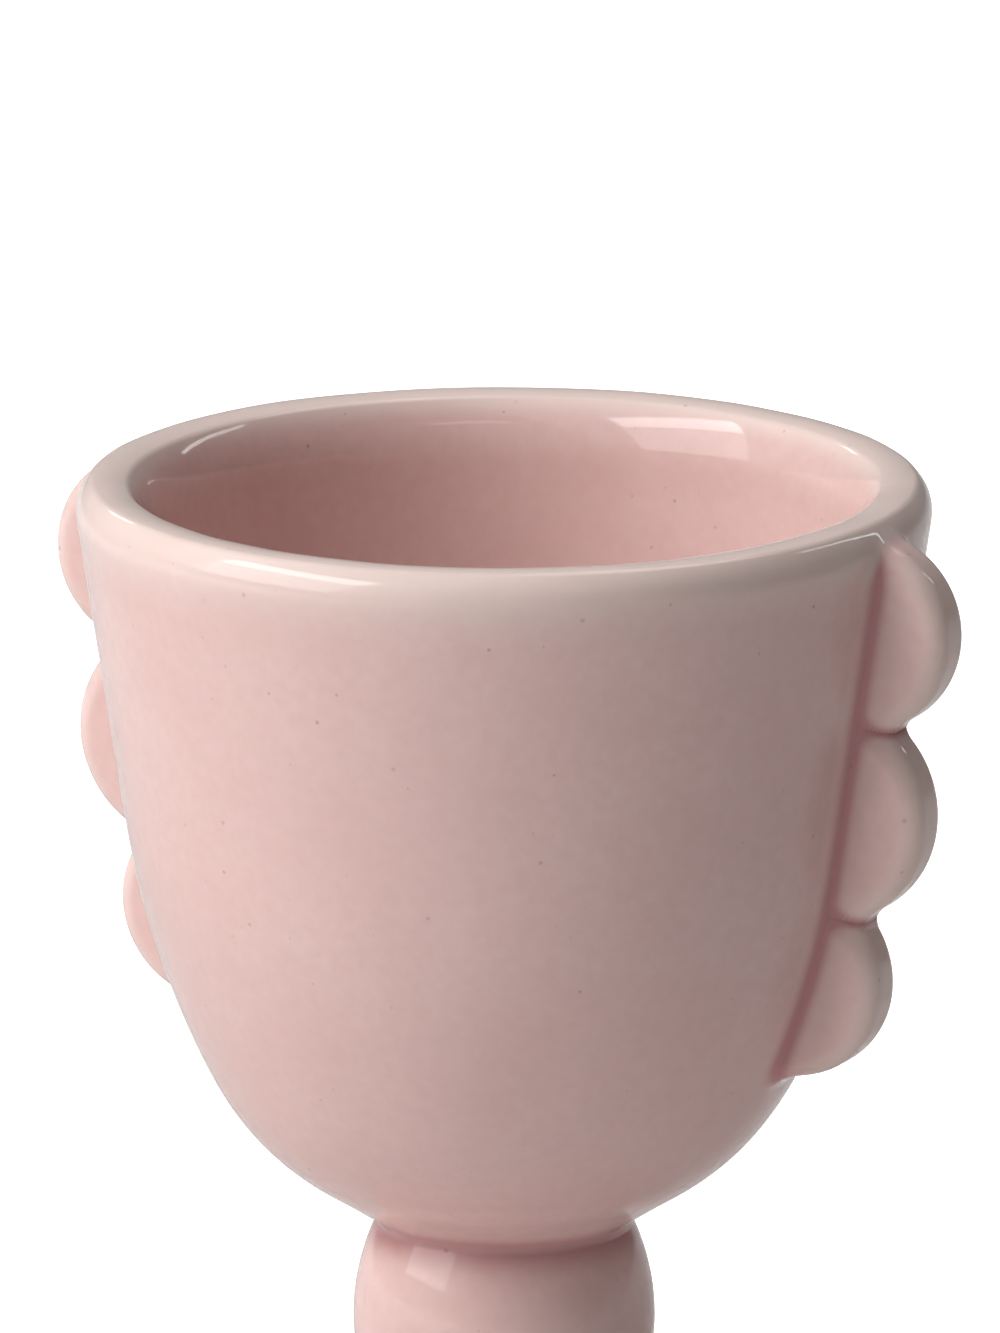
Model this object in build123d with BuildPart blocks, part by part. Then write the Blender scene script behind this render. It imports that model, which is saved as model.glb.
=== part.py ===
# Footed egg cup in glazed ceramic: a thrown bowl on a barrel-shaped bead and a domed foot, with a
# scalloped fin of three lobes on each side of the bowl. The pieces are made apart and luted face to
# face with slip before firing, so every seat is a plain butt joint.
# Millimetres, +Z up. The origin is at the centre of the face that the foot ring stands on, and the
# fins stand out along X.
import os
from math import acos, degrees, sqrt

from build123d import *

# Bowl. Radii are of the outside, and heights are counted from its seat on the bead
bowl_height = 48.2
lip_radius = 27.3  # where the side would meet the top of the lip, before the lip is rounded
side_radius = 24.0  # lower end of the straight, leaning side
side_height = 26.4
belly_radius = 18.6  # where the long curve of the belly passes into the round underside
belly_height = 9.7
under_radius = 11.9  # where the underside starts to sweep in to the neck
under_height = 2.5
wall = 3.9

# Neck: the round seat that bowl, bead and foot share
neck_radius = 8.3

# Bead
bead_radius = 9.65
bead_height = 13.0
bead_edge = 0.9  # rounding of the rims of its two seats

# Foot
foot_radius = 19.0
foot_height = 12.0
foot_rim_height = 2.6  # where the dome stands upright, above the floor
foot_ring_width = 5.2  # with its rounded edges
foot_recess_height = 6.5  # highest point of the hollow underside
foot_edge = 0.8

# Lobes: radius of the round tab, how far its middle lies below the top of the lip, and how far its
# tip stands out from the wall there
upper_lobe_radius = 6.3
upper_lobe_drop = 7.25
upper_lobe_reach = 5.1
middle_lobe_radius = 7.2
middle_lobe_drop = 19.0
middle_lobe_reach = 5.3
lower_lobe_radius = 6.35
lower_lobe_drop = 30.0
lower_lobe_reach = 4.65
lobe_thickness = 4.1
lobe_edge = 1.4  # rounding of the front and back rims
crease_round = 1.6  # rounding of the corners where two lobes meet
seam_turn = 180  # degrees that put the start of a lobe's circle on the wall side

bead_base = foot_height
bowl_base = bead_base + bead_height
lip_top = bowl_base + bowl_height
lip_round = 0.48 * wall  # a lip that is round all the way over

os.makedirs("parts", exist_ok=True)

# Foot: a dome on a ring, turned in one piece and hollowed from below
dome_rise = (foot_height - foot_rim_height) / sqrt(1 - (neck_radius / foot_radius) ** 2)
seat_angle = degrees(acos(neck_radius / foot_radius))
ring_inner = foot_radius - foot_ring_width
with BuildPart() as foot:
    with BuildSketch(Plane.XZ):
        with BuildLine():
            dome = EllipticalCenterArc((0, foot_rim_height), foot_radius, dome_rise, arc_size=seat_angle)
            recess = EllipticalCenterArc((0, 0), ring_inner, foot_recess_height, arc_size=90)
            Polyline(dome @ 1, (0, foot_height), recess @ 1)
            Polyline(recess @ 0, (foot_radius, 0), dome @ 0)
        make_face()
    revolve(axis=Axis.Z)
    fillet(foot.edges().group_by(Axis.Z)[0], radius=foot_edge)
foot.part.label = "foot"
export_step(foot.part, "parts/foot.step")

# Bead: a barrel between two flat seats
with BuildPart() as stem_bead:
    with BuildSketch(Plane.XZ):
        with BuildLine():
            barrel = ThreePointArc(
                (neck_radius, bead_base),
                (bead_radius, bead_base + bead_height / 2),
                (neck_radius, bowl_base),
            )
            Polyline(barrel @ 1, (0, bowl_base), (0, bead_base), barrel @ 0)
        make_face()
    revolve(axis=Axis.Z)
    fillet(stem_bead.edges().filter_by(GeomType.CIRCLE), radius=bead_edge)
stem_bead.part.label = "stem_bead"
export_step(stem_bead.part, "parts/stem_bead.step")

# Outline of the outside of the bowl, from the lip down to the seat: a straight side that runs into
# three arcs, each tangent to the one before
with BuildLine() as outside:
    side = Line((lip_radius, lip_top), (side_radius, bowl_base + side_height))
    belly = TangentArc(side @ 1, (belly_radius, bowl_base + belly_height), tangent=side % 1)
    under = TangentArc(belly @ 1, (under_radius, bowl_base + under_height), tangent=belly % 1)
    sweep_in = TangentArc(under @ 1, (neck_radius, bowl_base), tangent=under % 1)

# Bowl as a full block, which the lobes are cut to fit
with BuildPart() as bowl_block:
    with BuildSketch(Plane.XZ):
        with BuildLine():
            add(outside.line)
            Polyline(sweep_in @ 1, (0, bowl_base), (0, lip_top), side @ 0)
        make_face()
    revolve(axis=Axis.Z)
    fillet(bowl_block.edges().group_by(Axis.Z)[-1], radius=lip_round)

# Bowl: the block, hollowed to the wall's thickness, down to a round floor centred on the axis
side_inward = (side % 1).cross(Vector(0, 0, 1))
belly_inward = (belly % 1).cross(Vector(0, 0, 1))
belly_inner = (belly @ 1) + belly_inward * wall
floor_radius = -belly_inner.X / belly_inward.X
floor_top = belly_inner.Y + belly_inward.Y * floor_radius - floor_radius
with BuildPart() as egg_bowl:
    add(bowl_block.part)
    with BuildSketch(Plane.XZ):
        with BuildLine():
            inner_side = Line((side @ 0) + side_inward * wall, (side @ 1) + side_inward * wall)
            TangentArc(inner_side @ 1, belly_inner, tangent=side % 1)
            TangentArc(belly_inner, (0, floor_top), tangent=belly % 1)
            Polyline((0, floor_top), (0, (inner_side @ 0).Y), inner_side @ 0)
        make_face()
    revolve(axis=Axis.Z, mode=Mode.SUBTRACT)
    fillet(egg_bowl.edges().group_by(Axis.Z)[-1].sort_by(SortBy.RADIUS)[0], radius=lip_round)
egg_bowl.part.label = "egg_bowl"
export_step(egg_bowl.part, "parts/egg_bowl.step")


def lobe_centre(drop, radius, reach):
    """Middle of a lobe, seen along Y: its tip stands out from the bowl's wall by its reach."""
    level = Axis((0, lip_top - drop, 0), (1, 0, 0))
    crossings = [point for edge in outside.edges() for point in edge.find_intersection_points(level)]
    return Vector(crossings[0].X + reach - radius, lip_top - drop)


def crease(centre, radius, next_centre, next_radius):
    """Plane where two neighbouring lobes meet, facing the second one."""
    towards = next_centre - centre
    share = (towards.length**2 + radius**2 - next_radius**2) / (2 * towards.length**2)
    return Plane(centre + towards * share, z_dir=towards)


# Lobes: round tabs of clay, trimmed flat where they meet and cut to the wall that they are luted to
upper = lobe_centre(upper_lobe_drop, upper_lobe_radius, upper_lobe_reach)
middle = lobe_centre(middle_lobe_drop, middle_lobe_radius, middle_lobe_reach)
lower = lobe_centre(lower_lobe_drop, lower_lobe_radius, lower_lobe_reach)
upper_crease = crease(upper, upper_lobe_radius, middle, middle_lobe_radius)
lower_crease = crease(middle, middle_lobe_radius, lower, lower_lobe_radius)
for name, centre, radius, trims in (
    ("upper", upper, upper_lobe_radius, [(upper_crease, Keep.BOTTOM)]),
    ("middle", middle, middle_lobe_radius, [(upper_crease, Keep.TOP), (lower_crease, Keep.BOTTOM)]),
    ("lower", lower, lower_lobe_radius, [(lower_crease, Keep.TOP)]),
):
    with BuildPart() as right_lobe:
        with BuildSketch(Plane.XZ) as tab:
            with Locations(Location((centre.X, centre.Y), seam_turn)):
                Circle(radius)
            for plane, kept in trims:
                split(bisect_by=plane, keep=kept)
            fillet(tab.edges().filter_by(GeomType.LINE).vertices(), radius=crease_round)
        extrude(amount=lobe_thickness / 2, both=True)
        fillet(right_lobe.faces().filter_by(Axis.Y).edges(), radius=lobe_edge)
        add(bowl_block.part, mode=Mode.SUBTRACT)
    with BuildPart() as left_lobe:
        mirror(right_lobe.part, about=Plane.YZ)
    for side_name, lobe in (("right", right_lobe), ("left", left_lobe)):
        lobe.part.label = f"{side_name}_{name}_lobe"
        export_step(lobe.part, f"parts/{side_name}_{name}_lobe.step")
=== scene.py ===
# Footed egg cup: a thrown stoneware bowl on a bead and a domed foot, with a scalloped fin of three
# clay tabs on each side, luted together with slip, dipped in a pale pink glaze and fired once more.
# Sizes are in millimetres and meshes in metres, in the frame of the solids: +Z up, fins along X.
import math

import bmesh
import bpy
import numpy as np
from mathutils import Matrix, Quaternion, Vector


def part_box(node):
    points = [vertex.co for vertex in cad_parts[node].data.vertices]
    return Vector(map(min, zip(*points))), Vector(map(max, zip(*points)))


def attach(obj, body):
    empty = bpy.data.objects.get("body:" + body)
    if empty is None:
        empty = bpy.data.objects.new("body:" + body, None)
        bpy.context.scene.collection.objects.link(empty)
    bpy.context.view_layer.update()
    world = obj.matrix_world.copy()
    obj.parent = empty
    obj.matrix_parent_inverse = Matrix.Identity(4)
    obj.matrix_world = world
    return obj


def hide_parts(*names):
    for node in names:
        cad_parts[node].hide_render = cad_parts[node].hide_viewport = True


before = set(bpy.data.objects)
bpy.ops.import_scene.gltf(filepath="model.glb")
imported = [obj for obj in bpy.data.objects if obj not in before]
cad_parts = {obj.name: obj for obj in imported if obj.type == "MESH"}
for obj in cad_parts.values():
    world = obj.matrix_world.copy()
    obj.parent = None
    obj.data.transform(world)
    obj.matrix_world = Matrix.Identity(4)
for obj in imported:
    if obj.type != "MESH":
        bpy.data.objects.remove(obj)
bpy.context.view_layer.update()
mm = 0.001


# Foot: a stoneware dome, thrown upside down and hollowed from below. It stands on a narrow ring
# that is wiped bare before the glaze firing, and the rest of it is dipped with the cup.
foot_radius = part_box("foot")[1].x / mm
foot_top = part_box("foot")[1].z / mm
neck_radius = 8.3  # of the seat that the bead stands on
foot_rim_height = 2.6  # where the dome stands upright
foot_ring_inner = 13.8
foot_recess_height = 6.5
foot_edge = 0.8
foot_pool_and_shade_reach = 1.4  # how far the glaze pools round the groove under the bead, with painted shade
ring_thin_low, ring_thin_top = 0.6, 2.5  # heights between which the glaze thins towards the ring
ring_thin_share = 0.6


def curve_to(start, heading, end, steps):
    """Arc that leaves start along heading and runs to end, and its heading there."""
    chord = np.subtract(end, start)
    across = np.array([-heading[1], heading[0]])
    middle = start + across * (chord @ chord) / (2 * across @ chord)
    angle = np.linspace(0, 2 * np.arctan2(across @ chord, heading @ chord), steps)[:, None]
    spoke = start - middle
    arc = middle + np.cos(angle) * spoke + np.sin(angle) * [-spoke[1], spoke[0]]
    return arc, 2 * (heading @ chord) * chord / (chord @ chord) - heading


def rounded(first, second, radius):
    """Two runs of points that meet at a corner, joined by an arc of that radius."""
    corner = second[0]
    back = (first[-2] - corner) / np.hypot(*(first[-2] - corner))
    onward = (second[1] - corner) / np.hypot(*(second[1] - corner))
    cut = radius / np.tan(np.arccos(back @ onward) / 2)
    arc, _ = curve_to(corner + back * cut, -back, corner + onward * cut, 11)
    clear = cut * 1.02  # so that no point falls on an end of the arc
    before = first[np.hypot(*(first - corner).T) > clear]
    after = second[np.hypot(*(second - corner).T) > clear]
    return np.concatenate([before, arc, after])


def turned(outline, angle):
    """Mesh of an outline that runs from axis to axis, turned round the axis in the given angles."""
    sides = len(angle)
    rings = [np.stack([r * np.cos(angle), r * np.sin(angle), z + 0 * angle], 1) for r, z in outline[1:-1]]
    points = np.concatenate([[(0, 0, outline[0][1])], *rings, [(0, 0, outline[-1][1])]])
    here = 1 + np.arange(sides)
    there = np.roll(here, -1)
    last = (len(rings) - 1) * sides
    faces = [(0, b, a) for a, b in zip(here, there)]
    faces += [(a + last, b + last, len(points) - 1) for a, b in zip(here, there)]
    for ring in range(len(rings) - 1):
        low, high = ring * sides, (ring + 1) * sides
        faces += [(a + low, b + low, b + high, a + high) for a, b in zip(here, there)]
    mesh = bpy.data.meshes.new("turned")
    mesh.from_pydata(points * mm, [], faces)
    return mesh


def linear(code):
    """Linear colour of an sRGB hex code."""
    parts = [int(code[i : i + 2], 16) / 255 for i in (1, 3, 5)]
    return [c / 12.92 if c < 0.04045 else ((c + 0.055) / 1.055) ** 2.4 for c in parts] + [1]


def add(tree, kind, inputs, **settings):
    """Adds a node with its settings. An input takes a plain value or the output of another node."""
    node = tree.nodes.new("ShaderNode" + kind)
    for name, value in settings.items():
        setattr(node, name, value)
    for name, value in inputs.items():
        if isinstance(value, bpy.types.NodeSocket):
            tree.links.new(value, node.inputs[name])
        else:
            node.inputs[name].default_value = value
    return node


# The glaze: its colours, its patterns in millimetres and its gloss. A glaze's index is about 1.5,
# and a lower one gives reflections as soft as those that this cup shows
glaze_colour = "#e2c0bb"
cloud_colour = "#e6c7c2"
grain_colour = "#dcb7b2"
thin_colour = "#ead7cf"
# pooled glaze in seams and grooves, made deeper as painted shade there
pooled_glaze_and_shade_colour = "#c2888a"
pinhole_colour = "#8f6a64"
bare_clay_colour = "#d9c3b4"
cloud_size = 11
grain_size = 0.9
peel_size, peel_depth = 2.6, 0.05
pinhole_spacing = 1.6
pinhole_radius = 0.13  # of the widest one, as a share of the spacing
bare_height, glazed_height = 0.5, 0.9  # edge of the part that is wiped bare
glaze_roughness, clay_roughness = 0.06, 0.75
glaze_index = 1.38


def pink_glaze():
    """Glossy coloured glaze on stoneware: clear colour where it lies thick in seams, deepened there by
    painted shade, creamy where it runs thin over edges, faintly clouded, with pinholes and a skin that
    is smooth but not flat."""
    material = bpy.data.materials.new("pink_glaze_on_stoneware")
    material.use_nodes = True
    tree = material.node_tree
    tree.nodes.clear()
    place = add(tree, "TexCoord", {}).outputs["Object"]
    height = add(tree, "SeparateXYZ", {"Vector": place}).outputs["Z"]
    cloud = add(tree, "TexNoise", {"Vector": place, "Scale": 1 / (cloud_size * mm), "Detail": 3})
    grain = add(tree, "TexNoise", {"Vector": place, "Scale": 1 / (grain_size * mm), "Detail": 2})
    cloud_share = add(
        tree, "MapRange", {"Value": cloud.outputs["Fac"], "From Min": 0.35, "From Max": 0.7}
    )
    grain_share = add(
        tree, "MapRange", {"Value": grain.outputs["Fac"], "From Min": 0.3, "From Max": 0.8, "To Max": 0.5}
    )

    def mixed(share, below, above):
        """Colour between two others, by the share of the second."""
        mix = add(tree, "Mix", {0: share, 6: below, 7: above}, data_type="RGBA")
        return mix.outputs[2]

    clouded = mixed(cloud_share.outputs["Result"], linear(glaze_colour), linear(cloud_colour))
    grained = mixed(grain_share.outputs["Result"], clouded, linear(grain_colour))
    thin = add(tree, "Attribute", {}, attribute_name="glaze_thin").outputs["Fac"]
    # Where the glaze pools, also painted darker as the shade that falls in seams and grooves
    pool_and_shade_share = add(tree, "Attribute", {}, attribute_name="glaze_pool_and_shade").outputs["Fac"]
    creamy = mixed(thin, grained, linear(thin_colour))
    deep_and_shaded = mixed(pool_and_shade_share, creamy, linear(pooled_glaze_and_shade_colour))
    pinhole = add(tree, "TexVoronoi", {"Vector": place, "Scale": 1 / (pinhole_spacing * mm)})
    chance = add(tree, "SeparateColor", {"Color": pinhole.outputs["Color"]}).outputs
    edge = add(
        tree, "Math", {0: chance["Red"], 1: pinhole_radius}, operation="MULTIPLY"
    ).outputs["Value"]
    depth = add(tree, "MapRange", {"Value": chance["Green"], "To Min": 0.1, "To Max": 0.5})
    offset = add(tree, "Math", {0: pinhole.outputs["Distance"], 1: edge}, operation="DIVIDE")
    pinhole_share = add(
        tree,
        "MapRange",
        {
            "Value": offset.outputs["Value"],
            "From Min": 0.35,
            "From Max": 1,
            "To Min": depth.outputs["Result"],
            "To Max": 0,
        },
    )
    specked = mixed(pinhole_share.outputs["Result"], deep_and_shaded, linear(pinhole_colour))
    bare = add(
        tree,
        "MapRange",
        {
            "Value": height,
            "From Min": bare_height * mm,
            "From Max": glazed_height * mm,
            "To Min": 1,
            "To Max": 0,
        },
    ).outputs["Result"]
    colour = mixed(bare, specked, linear(bare_clay_colour))
    roughness = add(
        tree, "MapRange", {"Value": bare, "To Min": glaze_roughness, "To Max": clay_roughness}
    ).outputs["Result"]
    peel = add(tree, "TexNoise", {"Vector": place, "Scale": 1 / (peel_size * mm), "Detail": 2})
    bump = add(
        tree, "Bump", {"Height": peel.outputs["Fac"], "Strength": 0.25, "Distance": peel_depth * mm}
    ).outputs["Normal"]
    shader = add(
        tree,
        "BsdfPrincipled",
        {
            "Base Color": colour,
            "Roughness": roughness,
            "Normal": bump,
            "IOR": glaze_index,
            "Subsurface Weight": 0.12,
            "Subsurface Radius": (1.0, 0.55, 0.45),
            "Subsurface Scale": 1.2 * mm,
        },
    )
    add(tree, "OutputMaterial", {"Surface": shader.outputs["BSDF"]})
    return material


glaze = pink_glaze()
unevenness = 0.09  # the most that the skin lies below the true form
# Waves that hands leave in soft clay: radians per mm along X, Y and Z, start, and weight
hand_waves = (
    ((0.31, 0, 0.23), 1.0, 1.0),
    ((0, 0.37, -0.19), 2.1, 1.0),
    ((0.83, -0.71, 0), 0.4, 0.6),
    ((0, 0.77, 0.69), 0.9, 0.6),
)


def uneven(points):
    """How far the hand-made skin lies below the true form at these points."""
    height = sum(weight * np.sin(points @ wave + start) for wave, start, weight in hand_waves)
    most = sum(weight for _, _, weight in hand_waves)
    return unevenness * (0.5 + height / most / 2)


def mesh_points(mesh, layer="vertices", field="co"):
    """Places of a mesh's points, or their normals, one in each row."""
    flat = np.zeros(len(mesh.vertices) * 3)
    getattr(mesh, layer).foreach_get(field, flat)
    return flat.reshape(-1, 3)


def glazed(mesh, node, pool_and_shade, thin):
    """Piece that stands for a solid, with how thick the glaze pools, deepened there by painted shade, and
    how thin it runs on it.
    """
    points = mesh_points(mesh) / mm
    out = mesh_points(mesh, "vertex_normals", "vector")
    for name, share in (("glaze_pool_and_shade", pool_and_shade(points)), ("glaze_thin", thin(points))):
        mesh.attributes.new(name, "FLOAT", "POINT").data.foreach_set("value", share)
    points -= out * uneven(points)[:, None]
    mesh.vertices.foreach_set("co", (points * mm).ravel())
    mesh.shade_smooth()
    mesh.materials.append(glaze)
    piece = bpy.data.objects.new("glazed_" + node, mesh)
    bpy.context.scene.collection.objects.link(piece)
    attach(piece, "root")
    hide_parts(node)


def ease(value, start, end):
    """Smooth step from 0 at start to 1 at end."""
    share = np.clip((value - start) / (end - start), 0, 1)
    return share * share * (3 - 2 * share)


def around(radius, height, reach):
    """Share from 1 on a circle round the axis down to 0 at a reach from it."""

    def share(points):
        from_axis = np.hypot(points[:, 0], points[:, 1])
        return ease(np.hypot(from_axis - radius, points[:, 2] - height), reach, 0)

    return share


even_angles = np.linspace(0, 2 * np.pi, 160, endpoint=False)
turn = np.linspace(0, np.pi / 2, 25)
recess = np.stack([foot_ring_inner * np.sin(turn), foot_recess_height * np.cos(turn)], 1)
ring = np.linspace((foot_ring_inner, 0), (foot_radius, 0), 4)
rim = np.linspace((foot_radius, 0), (foot_radius, foot_rim_height), 4)
dome_turn = np.linspace(0, math.acos(neck_radius / foot_radius), 30)
dome_rise = (foot_top - foot_rim_height) / math.sin(dome_turn[-1])
dome = np.stack([foot_radius * np.cos(dome_turn), foot_rim_height + dome_rise * np.sin(dome_turn)], 1)
foot_outline = rounded(rounded(recess, ring, foot_edge), np.concatenate([rim, dome[1:]]), foot_edge)
foot_outline = np.concatenate([foot_outline, [(0, foot_top)]])
glazed(
    turned(foot_outline, even_angles),
    "foot",
    pool_and_shade=around(neck_radius, foot_top, foot_pool_and_shade_reach),
    thin=lambda points: ease(points[:, 2], ring_thin_top, ring_thin_low) * ring_thin_share,
)


# Bead: a solid stoneware barrel between foot and bowl. A little slip is smoothed into the groove
# where it stands on the foot, and the glaze pools in the grooves at both of its ends, with painted
# shade deepening its colour there. The upper groove is shared with the bowl, so the bead is finished
# in the bowl's section.
bead_low, bead_high = (corner.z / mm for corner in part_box("stem_bead"))
bead_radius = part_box("stem_bead")[1].x / mm
groove_radius = 8.15  # of its two ends
cove = 0.8  # radius of the slip in the groove on the foot
foot_overlap = 1  # how deep its hidden end lies in the foot
foot_overlap_flare = 1.3  # how far it flares there

bead_half = (bead_high - bead_low) / 2
bulge = bead_radius - groove_radius
barrel_radius = (bead_half**2 + bulge**2) / (2 * bulge)
lean = np.linspace(-1, 1, 33) * math.asin(bead_half / barrel_radius)
barrel_hub = np.array([bead_radius - barrel_radius, bead_low + bead_half])
barrel = barrel_hub + barrel_radius * np.stack([np.cos(lean), np.sin(lean)], 1)
hidden_end = bead_low - foot_overlap
tucked = np.array([(0, hidden_end), (neck_radius + foot_overlap_flare, hidden_end), barrel[0]])


# Bowl: thrown on the wheel with an even wall that leans out to a lip rounded with a wet sponge.
# It is luted to the bead, and the glaze runs thin and creamy over the lip.
bowl_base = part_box("egg_bowl")[0].z / mm
lip_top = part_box("egg_bowl")[1].z / mm
lip_radius = 27.3  # where the side would meet the top of the lip, before the lip is rounded
side_radius, side_height = 24.0, 26.4
belly_radius, belly_height = 18.6, 9.7
under_radius, under_height = 11.9, 2.5
wall = 3.9
# Arcs over the lip from the outside in: radius, and how many degrees the skin has turned from facing
# straight out at the arc's end
lip_arcs = ((2.6, 45), (0.8, 83), (5.0, 104), (0.8, 140), (5.8, 180))
lip_band_outside, lip_band_inside = 5.0, 1.5  # how far down from the top the glaze is thin
lip_thin_full = 0.2  # how far down it is thinnest
lip_thin_share = 0.85
neck_cove = 0.5  # radius of the slip in the groove between bead and bowl
groove_overlap = 0.5  # how far bead and bowl run on under each other
# pooled glaze in the neck groove, with painted shade
groove_pool_and_shade_reach = 2.2
groove_pool_and_shade_share = 0.75
point_gap = 0.2  # least step from one run of points to the next
fin_sector = 10  # degrees on each side of a fin where the mesh is finer, to carry the fin's slip
fine_step, coarse_step = 0.4, 2.5


def shared_groove(first, second, radius):
    """Two runs of points that meet at a corner, each carried on to the middle of a hollow fillet there
    and from it straight on under the other."""
    both = rounded(first, second, radius)
    middle = np.hypot(*(both - second[0]).T).argmin()
    onward = both[middle + 1] - both[middle - 1]
    onward *= groove_overlap / np.hypot(*onward)
    lower = np.concatenate([both[: middle + 1], [both[middle] + onward]])
    return lower, np.concatenate([[both[middle] - onward], both[middle:]])


def arcs(angle, runs):
    """Points of arcs that run on from each other, from the angle that the skin faces at the first."""
    points = [np.zeros(2)]
    for radius, end in runs:
        turn = np.radians(np.linspace(angle, end, 15))
        arc = radius * np.stack([np.cos(turn), np.sin(turn)], 1)
        points += list(points[-1] + (arc - arc[0])[1:])
        angle = end
    return np.array(points)


side = np.linspace((lip_radius, lip_top), (side_radius, bowl_base + side_height), 56)
side_heading = (side[-1] - side[0]) / np.hypot(*(side[-1] - side[0]))
belly, belly_heading = curve_to(side[-1], side_heading, (belly_radius, bowl_base + belly_height), 46)
under, under_heading = curve_to(belly[-1], belly_heading, (under_radius, bowl_base + under_height), 20)
sweep_in, _ = curve_to(under[-1], under_heading, (groove_radius, bowl_base), 14)
outside = np.concatenate([side, belly[1:], under[1:], sweep_in[1:]])[::-1]

side_inward = np.array([side_heading[1], -side_heading[0]])
belly_inward = np.array([belly_heading[1], -belly_heading[0]])
inner_side = side + side_inward * wall
inner_belly, _ = curve_to(inner_side[-1], side_heading, belly[-1] + belly_inward * wall, 36)
floor_radius = -inner_belly[-1][0] / belly_inward[0]
floor_middle = inner_belly[-1][1] + belly_inward[1] * floor_radius
floor, _ = curve_to(inner_belly[-1], belly_heading, (0, floor_middle - floor_radius), 28)

side_lean = math.atan2(-side_heading[0], -side_heading[1])
lip = arcs(-math.degrees(side_lean), lip_arcs)
crest = lip[:, 1].argmax()
lip += [lip_radius - math.tan(side_lean) * lip[crest][1], lip_top - lip[crest][1]]

# Inside, a hollow curve leads from the lip back into the even wall
down = np.array([0, -1])
straight = (down + side_heading) / np.hypot(*(down + side_heading))
gap = (inner_side[0] - lip[-1]) @ side_inward / (straight @ side_inward)
hollow, _ = curve_to(lip[-1], down, lip[-1] + straight * gap, 20)
inner_side = inner_side[inner_side[:, 1] < hollow[-1][1] - point_gap]
outside = np.concatenate([outside[outside[:, 1] < lip[0][1] - point_gap], lip[: crest + 1]])
inside = np.concatenate([lip[crest + 1 :], hollow[1:], inner_side, inner_belly[1:], floor[1:]])
skin_outline = np.concatenate([outside, inside])

bead_top, bowl_start = shared_groove(barrel, skin_outline, neck_cove)
bead_outline = rounded(tucked, bead_top, cove)
bead_outline = np.concatenate([bead_outline, [(0, bead_outline[-1][1])]])
glazed(
    turned(bead_outline, even_angles),
    "stem_bead",
    pool_and_shade=lambda points: np.maximum(
        around(neck_radius, bead_low, foot_pool_and_shade_reach)(points),
        groove_pool_and_shade_share * around(groove_radius, bead_high, groove_pool_and_shade_reach)(points),
    ),
    thin=lambda points: 0 * points[:, 0],
)
bowl_outline = np.concatenate([[(0, bowl_start[0][1])], bowl_start])
near_fin = np.arange(-fin_sector, fin_sector, fine_step)
between_fins = np.arange(fin_sector, 180 - fin_sector, coarse_step)
half_turn = np.radians(np.concatenate([near_fin, between_fins]))
bowl_mesh = turned(bowl_outline, np.concatenate([half_turn, half_turn + np.pi]))


# Fins: three round tabs of clay on each side, trimmed flat where they meet, luted to the wall with
# slip that is smoothed into a soft fillet. The glaze pools in the seams, with painted shade deepening
# its colour there, and thins on the rims.
tab_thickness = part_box("right_middle_lobe")[1].y * 2 / mm
tab_edge = 1.4
# Radius of each tab, and how far its middle lies below the top of the lip
tab_sizes = {"upper": (6.3, 7.25), "middle": (7.2, 19.0), "lower": (6.35, 30.0)}
crease_round = 0.4
crease_slip = 1.8  # reach of the slip in the creases between the tabs
root_slip = 1.8  # reach of the slip where the tabs meet the wall
top_slip = 0.7  # the same at the lip
slip_thin_top, slip_thin_low = 1, 4  # depths below the lip between which the slip thins out
slip_overlap = 0.8  # how far out the bowl carries slip
skirt = 1.5  # how far a tab carries slip past its own clay
tuck = 0.1  # how far a skin dips under the next one
tuck_run = 0.5  # the run that it takes to do so
root_depth = 1.2  # how deep a tab's hidden end lies in the wall
core_height = 1.2  # how far out from the wall the rays start that find a tab's skin
ray_stretch = (1, 0.9, 1.5)  # spreads the rays to suit the shape of a tab
ray_limit = 20
ray_steps = 90
ray_share = 0.8  # part of the distance still to go that each step takes
tab_cuts = 45  # how finely a tab's mesh is divided
seam_full = 0.33  # depth of slip that shows the full colour of pooled glaze and painted shade
seam_thin_top, seam_thin_low = 1, 3  # depths below the lip between which that colour fades
rim_thin_start, rim_thin_full = 1.7, 0.2  # how far in from a tab's rim the glaze thins
rim_root_low, rim_root_high = 0.8, 2.5  # distances from the wall between which that starts
rim_thin_share = 0.6
on_skin = 0.01  # points nearer to the bowl's outside than this lie on it

block_outline = np.concatenate([outside, np.linspace(outside[-1], (0, lip_top), 60)[1:]])
block_ahead = np.gradient(block_outline, axis=0)
block_out = np.stack([block_ahead[:, 1], -block_ahead[:, 0]], 1) / np.hypot(*block_ahead.T)[:, None]


def on_outline(points):
    """Radius and height of points, and which point of the bowl's outline is nearest to each."""
    flat = np.stack([np.hypot(points[:, 0], points[:, 1]), points[:, 2]], 1)
    return flat, ((block_outline**2).sum(1) - 2 * flat @ block_outline.T).argmin(1)


def bowl_distance(points):
    """How far points lie outside of the bowl, taken as a full block."""
    flat, nearest = on_outline(points)
    return ((flat - block_outline[nearest]) * block_out[nearest]).sum(1)


def inside_corner(distances, radius):
    """Distance outside of what several faces bound together, with rounded corners."""
    over = np.array(distances) + radius
    return np.minimum(over.max(0), 0) + np.hypot.reduce(np.maximum(over, 0)) - radius


def rim_distance(points, tab):
    """How far points lie outside of a tab's round rim, seen from its face."""
    flat = np.abs(points[:, [0, 2]]) - tab["middle"]
    creases = [flat @ way - height for way, height in tab["creases"]]
    return inside_corner([np.hypot(*flat.T) - tab["radius"], *creases], crease_round)


def tab_distance(points, tab):
    """How far points lie outside of a tab of clay, on either side of the cup."""
    return inside_corner([rim_distance(points, tab), np.abs(points[:, 1]) - tab_thickness / 2], tab_edge)


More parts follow.
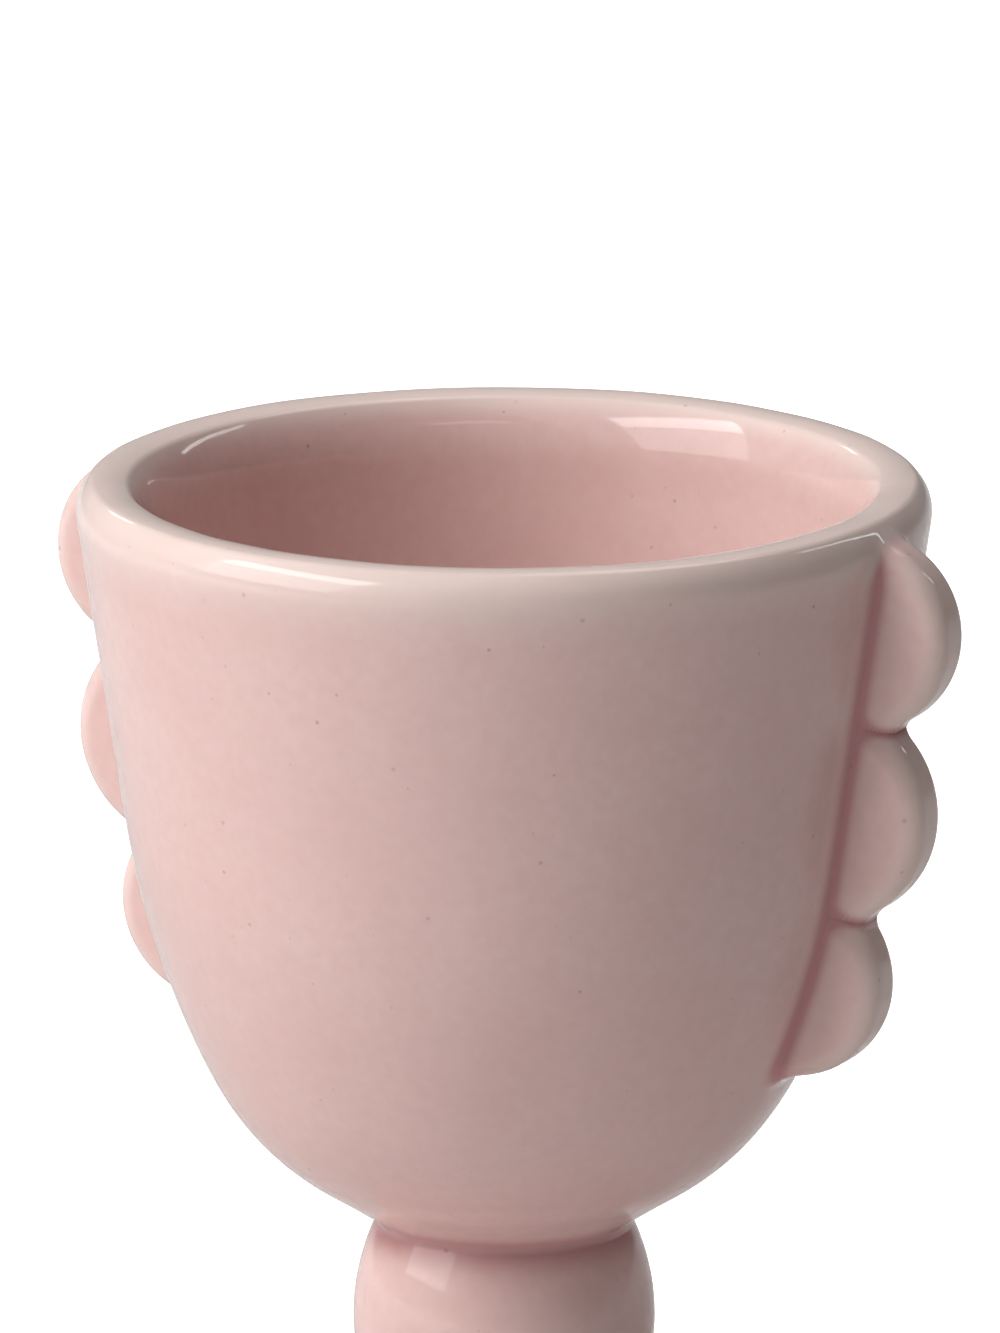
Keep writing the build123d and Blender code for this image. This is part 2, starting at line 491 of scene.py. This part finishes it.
def smooth_min(first, second, reach):
    """Lesser of two distances, with a fillet where they are within a reach of each other."""
    near = np.clip(1 - np.abs(first - second) / reach, 0, 1)
    return np.minimum(first, second) - near * near * reach / 4


def fin_distance(points):
    """How far points lie outside of a fin, with slip in its creases."""
    upper, middle, lower = (tab_distance(points, tab) for tab in tabs.values())
    return smooth_min(smooth_min(upper, middle, crease_slip), lower, crease_slip)


def luted_distance(points):
    """How far points lie outside of bowl and fin, with slip between them that thins out at the lip."""
    full = ease(points[:, 2], lip_top - slip_thin_top, lip_top - slip_thin_low)
    reach = top_slip + (root_slip - top_slip) * full
    return smooth_min(fin_distance(points), bowl_distance(points), reach)


def tucked_under(own, other):
    """How far a piece's skin dips under its neighbour's, past the middle of the slip between them."""
    return tuck * ease(own - other, 0, tuck_run)


def ball(cuts):
    """Ball of even square faces, as a mesh with points at distance 1."""
    work = bmesh.new()
    bmesh.ops.create_cube(work, size=2)
    bmesh.ops.subdivide_edges(work, edges=work.edges[:], cuts=cuts, use_grid_fill=True)
    mesh = bpy.data.meshes.new("ball")
    work.to_mesh(mesh)
    work.free()
    points = np.tan(mesh_points(mesh) * np.pi / 4)
    points /= np.linalg.norm(points, axis=1)[:, None]
    mesh.vertices.foreach_set("co", points.ravel())
    return mesh


tabs = {}
for name, (radius, drop) in tab_sizes.items():
    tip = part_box(f"right_{name}_lobe")[1].x / mm
    tabs[name] = {"middle": np.array([tip - radius, lip_top - drop]), "radius": radius, "creases": []}
for above, below in (("upper", "middle"), ("middle", "lower")):
    first, second = tabs[above], tabs[below]
    way = second["middle"] - first["middle"]
    apart = np.hypot(*way)
    height = (apart**2 + first["radius"] ** 2 - second["radius"] ** 2) / (2 * apart)
    first["creases"].append((way / apart, height))
    second["creases"].append((-way / apart, apart - height))


def seam_pool_and_shade(points):
    """Share of pooled glaze and painted shade: how far the skin of slip stands off the clay."""
    clay = [bowl_distance(points), *(tab_distance(points, tab) for tab in tabs.values())]
    below_lip = ease(points[:, 2], lip_top - seam_thin_top, lip_top - seam_thin_low)
    return ease(np.min(clay, axis=0), 0, seam_full) * below_lip


def slip_skin(start, way, field, limit):
    """Points where rays from start leave a field, no further than limit."""
    reached = np.zeros(len(start))
    for _ in range(ray_steps):
        reached = np.clip(reached - ray_share * field(start + way * reached[:, None]), 0, limit)
    return start + way * reached[:, None]


for name, tab in tabs.items():
    others = [other for other in tabs.values() if other is not tab]

    def tab_skin(points, tab=tab, others=others):
        """How far points lie outside of this tab with its share of the slip."""
        own, seat = tab_distance(points, tab), bowl_distance(points)
        nearest = np.min([seat, *(tab_distance(points, other) for other in others)], axis=0)
        skin = luted_distance(points) + tucked_under(own, nearest)
        return np.max([skin, own - skirt, -seat - root_depth], axis=0)

    def rim_thin(points, tab=tab):
        """Share of thin glaze, along the rim and away from the wall."""
        on_rim = ease(rim_distance(points, tab), -rim_thin_start, -rim_thin_full)
        return rim_thin_share * on_rim * ease(bowl_distance(points), rim_root_low, rim_root_high)

    mesh = ball(tab_cuts)
    rays = mesh_points(mesh) * ray_stretch
    rays /= np.linalg.norm(rays, axis=1)[:, None]
    wall_there = np.interp(tab["middle"][1], outside[:, 1], outside[:, 0])
    core = np.array([wall_there + core_height, 0, tab["middle"][1]])
    points = slip_skin(np.tile(core, (len(rays), 1)), rays, tab_skin, ray_limit)
    left = mesh.copy()
    mesh.vertices.foreach_set("co", (points * mm).ravel())
    left.vertices.foreach_set("co", (points * [-mm, mm, mm]).ravel())
    left.flip_normals()
    for side_mesh, side_name in ((mesh, "right"), (left, "left")):
        side_mesh.update()
        glazed(side_mesh, f"{side_name}_{name}_lobe", seam_pool_and_shade, rim_thin)

# The bowl carries its half of the slip that lutes the fins on
points = mesh_points(bowl_mesh) / mm
flat, nearest = on_outline(points)
to_tabs = np.min([tab_distance(points, tab) for tab in tabs.values()], axis=0)
luted = (np.abs(bowl_distance(points)) < on_skin) & (to_tabs < root_slip)
out = block_out[nearest[luted]]
spoke = points[luted, :2] / flat[luted, :1]
way = np.column_stack([spoke * out[:, :1], out[:, 1]])


def bowl_skin(points):
    """How far points lie outside of the bowl with its share of the slip."""
    return luted_distance(points) + tucked_under(bowl_distance(points), fin_distance(points))


points[luted] = slip_skin(points[luted], way, bowl_skin, slip_overlap)
bowl_mesh.vertices.foreach_set("co", (points * mm).ravel())
bowl_mesh.update()


def lip_thin(points):
    """Share of thin glaze: a wide band on the outside of the lip and a narrow one inside."""
    outer = np.hypot(points[:, 0], points[:, 1]) > lip[crest][0]
    band = np.where(outer, lip_band_outside, lip_band_inside)
    return lip_thin_share * ease(points[:, 2] - lip_top, -band, -lip_thin_full)


def bowl_pool_and_shade(points):
    """Share of pooled glaze and painted shade: along the fins, on the outside only, and in the groove of
    the neck.
    """
    beside_fins = (points[:, 2] > bowl_base + belly_height) & (bowl_distance(points) > -tuck)
    groove = groove_pool_and_shade_share * around(groove_radius, bowl_base, groove_pool_and_shade_reach)(points)
    return np.maximum(np.where(beside_fins, seam_pool_and_shade(points), 0), groove)


glazed(bowl_mesh, "egg_bowl", pool_and_shade=bowl_pool_and_shade, thin=lip_thin)


# Table: a plain white top that runs out of the picture on all sides. It is exposed to plain white,
# in which the cup's shadow is lost. From here on, sizes are in metres.
table_half = 4
table_colour = "#e2e1e0"
table_white = 0.95
table_mirror = 0.18  # how bright it is in reflections, once clear of the cup's own shadow
mirror_start, mirror_full = 0.08, 0.35  # distances from the cup's axis between which it gets so; nearer in, a painted shadow of the cup
table_mesh = bpy.data.meshes.new("white_table")
corners = ((-1, -1), (1, -1), (1, 1), (-1, 1))
table_mesh.from_pydata([(x * table_half, y * table_half, 0) for x, y in corners], [], [(0, 1, 2, 3)])
table = bpy.data.objects.new("white_table", table_mesh)
bpy.context.scene.collection.objects.link(table)

# Matt paint: an even white with no sheen
paint = bpy.data.materials.new("white_table_paint")
paint.use_nodes = True
tree = paint.node_tree
tree.nodes.clear()
ray = add(tree, "LightPath", {})
seen = add(tree, "Math", {0: ray.outputs["Is Camera Ray"], 1: table_white}, operation="MULTIPLY")
spot = add(tree, "TexCoord", {}).outputs["Object"]
away = add(tree, "VectorMath", {0: spot}, operation="LENGTH").outputs["Value"]
# In reflections the table glows, and near the cup that glow is cut out as a painted shadow of the cup
open_table = add(
    tree,
    "MapRange",
    {"Value": away, "From Min": mirror_start, "From Max": mirror_full, "To Max": table_mirror},
)
mirrored = add(
    tree, "Math", {0: ray.outputs["Is Glossy Ray"], 1: open_table.outputs["Result"]}, operation="MULTIPLY"
)
lift = add(tree, "Math", {0: seen.outputs["Value"], 1: mirrored.outputs["Value"]}, operation="ADD")
matt = add(tree, "BsdfDiffuse", {"Color": linear(table_colour)})
white = add(tree, "Emission", {"Color": linear("#ffffff"), "Strength": lift.outputs["Value"]})
both = add(tree, "AddShader", {0: matt.outputs["BSDF"], 1: white.outputs["Emission"]})
add(tree, "OutputMaterial", {"Surface": both.outputs["Shader"]})
table_mesh.materials.append(paint)


# Studio: on the left a lit white wall and in front of it a softbox with a bright tube along its
# top, a lamp high up behind the cup, weak fill lamps, and small ones that draw lines on the lip. They
# stand in a dark room with a pale backdrop.
view_azimuth = math.radians(26.2)
view_elevation = math.radians(14.43)
cup_middle = Vector((0, 0, 50 * mm))
lamp_distance = 1.0


def towards(azimuth, elevation):
    """Direction from the cup, with the azimuth counted from the camera's, to the right."""
    angle = view_azimuth + azimuth
    flat = math.cos(elevation)
    return Vector((math.sin(angle) * flat, -math.cos(angle) * flat, math.sin(elevation)))


def lamp(name, azimuth, elevation, width, height, power, roll=0):
    """Flat lamp that faces the cup, out of the camera's sight. Angles are in degrees."""
    light = bpy.data.lights.new(name, "AREA")
    light.shape = "RECTANGLE"
    light.size, light.size_y = width, height
    light.energy = power
    holder = bpy.data.objects.new(name, light)
    way = towards(math.radians(azimuth), math.radians(elevation))
    holder.location = cup_middle + way * lamp_distance
    turned_by = Quaternion((0, 0, 1), math.radians(roll))
    holder.rotation_euler = ((-way).to_track_quat("-Z", "Y") @ turned_by).to_euler()
    holder.visible_camera = False
    bpy.context.scene.collection.objects.link(holder)


# Azimuth and elevation in degrees, width and height, power in watts
lamp("wall_left", -67, 49, 1.6, 1.6, 6.4)
lamp("softbox", -67, 29.5, 0.76, 0.74, 5.1)
lamp("tube", -68, 42.5, 0.72, 0.19, 2.5)
lamp("left", -105, 50, 0.4, 0.4, 0.3)
lamp("back_right", 150, 66, 0.5, 0.5, 1.6)
lamp("front", 30, 8, 1.0, 0.3, 0.06)
lamp("overhead", 12, 38.5, 0.44, 0.05, 0.2)
lamp("strip_right", 119.5, 31.5, 0.46, 0.05, 0.39, roll=-52)
lamp("strip_left", -150, 26, 0.14, 0.14, 0.25)

world = bpy.data.worlds.new("studio")
bpy.context.scene.world = world
world.use_nodes = True
tree = world.node_tree
tree.nodes.clear()
room_light = 0.01
backdrop_light = 0.2
backdrop_way = towards(math.radians(180), math.radians(20))
backdrop_edge, backdrop_full = math.radians(55), math.radians(35)
ray = add(tree, "LightPath", {})
way = add(tree, "TexCoord", {}).outputs["Generated"]
facing = add(tree, "VectorMath", {0: way, 1: backdrop_way}, operation="DOT_PRODUCT")
glow = add(
    tree,
    "MapRange",
    {
        "Value": facing.outputs["Value"],
        "From Min": math.cos(backdrop_edge),
        "From Max": math.cos(backdrop_full),
        "To Min": room_light,
        "To Max": backdrop_light,
    },
)
seen = add(
    tree, "Math", {0: ray.outputs["Is Camera Ray"], 1: glow.outputs["Result"]}, operation="MAXIMUM"
)
sky = add(tree, "Background", {"Color": linear("#ffffff"), "Strength": seen.outputs["Value"]})
add(tree, "OutputWorld", {"Surface": sky.outputs["Background"]})


# Camera: a metre off with a long lens, looking down a little into the bowl. The foot is out of the
# picture.
camera_distance = 1.0
picture_height = 1333
pixels_per_mm = 15.826
aim_height = 60.9 * mm
aim_left = 0.26 * mm
view_right = Vector((math.cos(view_azimuth), math.sin(view_azimuth), 0))
camera_data = bpy.data.cameras.new("camera")
camera_data.lens = camera_data.sensor_width * pixels_per_mm * camera_distance / mm / picture_height
camera = bpy.data.objects.new("camera", camera_data)
camera.location = cup_middle + towards(0, view_elevation) * camera_distance
aim = Vector((0, 0, aim_height)) - view_right * aim_left
camera.rotation_euler = (aim - camera.location).to_track_quat("-Z", "Y").to_euler()
bpy.context.scene.collection.objects.link(camera)
bpy.context.scene.camera = camera
bpy.context.scene.view_settings.view_transform = "Standard"
